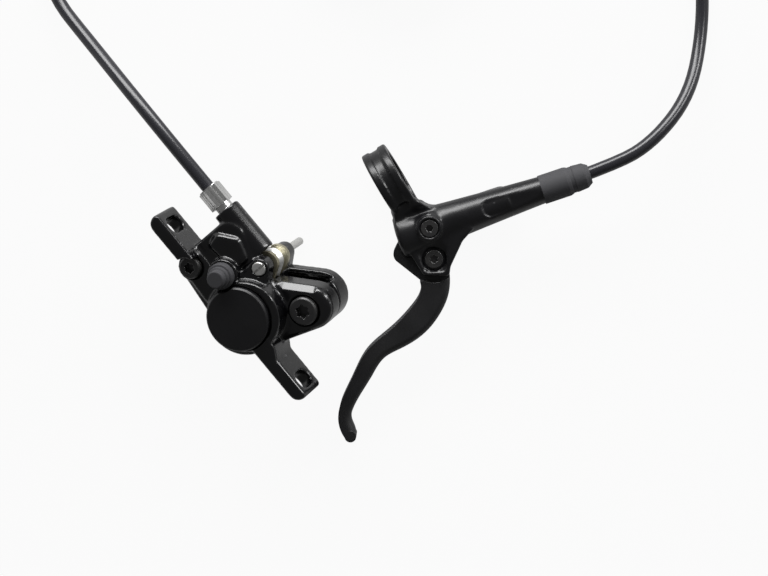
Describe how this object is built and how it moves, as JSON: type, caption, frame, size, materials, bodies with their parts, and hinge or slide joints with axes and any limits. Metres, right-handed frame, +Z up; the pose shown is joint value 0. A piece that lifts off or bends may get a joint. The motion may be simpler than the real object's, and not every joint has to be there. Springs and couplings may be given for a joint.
{
  "type": "hydraulic disc brake",
  "caption": "Bicycle hydraulic disc brake: handlebar lever with master cylinder, hose put away in a coil, and two-piston post-mount caliper with pads.",
  "frame": {"origin": "centre of the handlebar clamp's bore", "axes": "+Z up from the floor on which the brake lies, +X from the caliper towards the lever's hose end, +Y towards the put-away coil"},
  "size_m": [0.2565, 0.2338, 0.0464],
  "materials": {
    "lever_casting": "satin black paint",
    "blade": "fine textured matte black",
    "caliper_casting": "gloss black paint",
    "cap": "satin black",
    "black_fastener": "black oxide",
    "bright_steel": "bright zinc",
    "spring_steel": "bright",
    "pad_backing": "dull olive plating",
    "lining": "coarse resin compound",
    "brass": "plain",
    "aluminium": "machined",
    "piston": "fired ceramic",
    "seal_rubber": "smooth",
    "cover_rubber": "matte",
    "hose_sheath": "gloss black",
    "tie": "black",
    "nylon": "natural"
  },
  "bodies": {
    "root": {"bleed_nipple": "bright_steel", "bleed_nipple_cap": "cover_rubber", "bleed_screw": "black_fastener", "bleed_screw_seal": "seal_rubber", "body_bolt_long": "black_fastener", "body_bolt_short": "black_fastener", "caliper_hose_insert": "bright_steel", "caliper_olive": "brass", "clamp_bolt": "black_fastener", "connecting_bolt": "bright_steel", "flare_nut": "bright_steel", "hose_caliper_run": "hose_sheath", "hose_coil": "hose_sheath", "hose_lever_run": "hose_sheath", "hose_nut_cover": "cover_rubber", "hose_ties": "tie", "inner_half": "caliper_casting", "inner_piston_seal": "seal_rubber", "lever_body": "lever_casting", "lever_hose_insert": "bright_steel", "lever_olive": "brass", "master_spring": "spring_steel", "outer_half": "caliper_casting", "outer_piston_seal": "seal_rubber", "pad_pin": "spring_steel", "pad_spring": "spring_steel", "piston_cap": "cap", "piston_cap_seal": "seal_rubber", "piston_stop_clip": "spring_steel", "pivot_clip": "spring_steel", "pivot_pin": "black_fastener", "reservoir_diaphragm": "seal_rubber", "reservoir_lid": "lever_casting", "reservoir_lid_screws": "black_fastener"},
    "blade": {"lever_blade": "blade", "pivot_bushing": "nylon"},
    "master_piston": {"pushrod": "bright_steel", "master_piston": "aluminium", "secondary_cup": "seal_rubber", "primary_cup": "seal_rubber"},
    "outer_pad": {"outer_piston": "piston", "outer_pad_plate": "pad_backing", "outer_pad_lining": "lining"},
    "inner_pad": {"inner_piston": "piston", "inner_pad_plate": "pad_backing", "inner_pad_lining": "lining"}
  },
  "joints": [
    {"name": "blade_swing", "type": "hinge", "parent": "root", "child": "blade", "pos_m": [0.01582, -0.02787, -0.00022], "axis": [0.0205, 0.1272, -0.9917], "range_deg": [0, 19], "stiffness_Nm_per_rad": 0.6, "springref_deg": -11.46},
    {"name": "master_stroke", "type": "slide", "parent": "root", "child": "master_piston", "axis": [0.9466, 0.3168, 0.0602], "range_m": [0, 0.0042], "deforming": ["master_spring"]},
    {"name": "outer_pad_stroke", "type": "slide", "parent": "root", "child": "outer_pad", "axis": [0.3093, 0.2568, -0.9157], "range_m": [0, 0.00055]},
    {"name": "inner_pad_stroke", "type": "slide", "parent": "root", "child": "inner_pad", "axis": [-0.3093, -0.2568, 0.9157], "range_m": [0, 0.00055]}
  ],
  "couplings": [
    {"joint": "master_stroke", "follows": "blade_swing", "m_per_rad": 0.01166},
    {"joint": "outer_pad_stroke", "follows": "blade_swing", "m_per_rad": 0.00145},
    {"joint": "inner_pad_stroke", "follows": "blade_swing", "m_per_rad": 0.00145}
  ]
}
